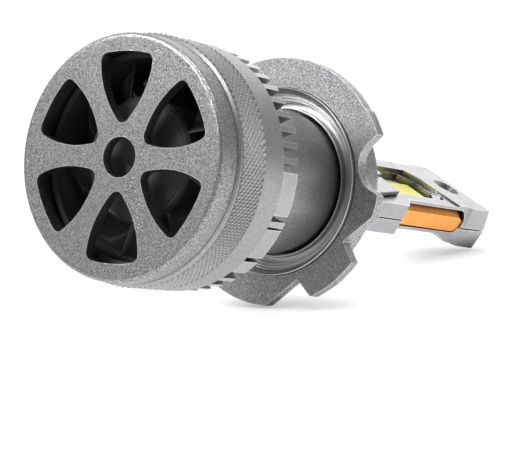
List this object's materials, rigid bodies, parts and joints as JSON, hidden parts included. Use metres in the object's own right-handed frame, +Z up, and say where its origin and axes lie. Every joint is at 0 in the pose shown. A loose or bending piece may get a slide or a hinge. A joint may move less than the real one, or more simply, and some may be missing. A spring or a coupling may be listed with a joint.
{
  "type": "headlight bulb",
  "caption": "LED headlight bulb: fan-cooled head with a petal grille and knurled sleeve, finned heat sink, turnable tabbed collar and flat lamp arm with copper heat pipes.",
  "frame": {"origin": "on the bulb's axis, in the collar's front face, the plane the lamp housing seats it by", "axes": "+Y along the axis from the fan grille to the lamp tip; +Z up; the upper LED face's normal is 59.3 degrees above +X"},
  "size_m": [0.0286, 0.0707, 0.029],
  "materials": {
    "titanium_grey": "fine blasted and anodised, sparkling, with a bright worn rim",
    "knurled_grey": "anodised, fine diamond knurl with brighter crests",
    "dark_titanium": "blasted and anodised, darker grey",
    "bare_aluminium": "bare satin aluminium",
    "copper": "drawn copper, satin, warm orange",
    "phosphor_yellow": "yellow phosphor coating, slightly glossy",
    "led_board": "white solder mask",
    "circuit_board": "green solder mask",
    "steel": "turned steel",
    "screw_steel": "dark brownish steel",
    "magnet_grey": "sintered ferrite",
    "fan_plastic": "moulded, fine matt grain",
    "black_rubber": "matt rubber"
  },
  "bodies": {
    "collar": {"collar": "dark_titanium"},
    "lamp": {"grille_cap": "titanium_grey", "knurled_sleeve": "knurled_grey", "cable_gland": "black_rubber", "fan_frame": "fan_plastic", "fan_circuit_board": "circuit_board", "fan_bearing": "steel", "fan_stator": "steel", "fan_screw_1": "steel", "fan_screw_2": "steel", "fan_screw_3": "steel", "upper_body_half": "bare_aluminium", "lower_body_half": "bare_aluminium", "heat_pipe_right": "copper", "heat_pipe_left": "copper", "upper_led_board": "led_board", "upper_led": "phosphor_yellow", "lower_led_board": "led_board", "lower_led": "phosphor_yellow", "upper_light_shield": "bare_aluminium", "lower_light_shield": "bare_aluminium", "tip_screw": "screw_steel", "driver_board": "circuit_board", "driver_inductor": "magnet_grey", "driver_capacitor": "steel", "driver_chip": "black_rubber", "neck_sleeve": "dark_titanium", "shoulder_ring": "dark_titanium", "collar_o_ring": "black_rubber", "collar_circlip": "steel"},
    "impeller": {"fan_impeller": "fan_plastic", "fan_magnet": "magnet_grey", "fan_shaft": "steel"}
  },
  "joints": [
    {"name": "collar_turn", "type": "hinge", "parent": "collar", "child": "lamp", "pos_m": [0, 0, 0], "axis": [0, 1, 0], "continuous": true},
    {"name": "fan_spin", "type": "hinge", "parent": "lamp", "child": "impeller", "pos_m": [0, -0.0252, 0], "axis": [0, 1, 0], "continuous": true}
  ]
}
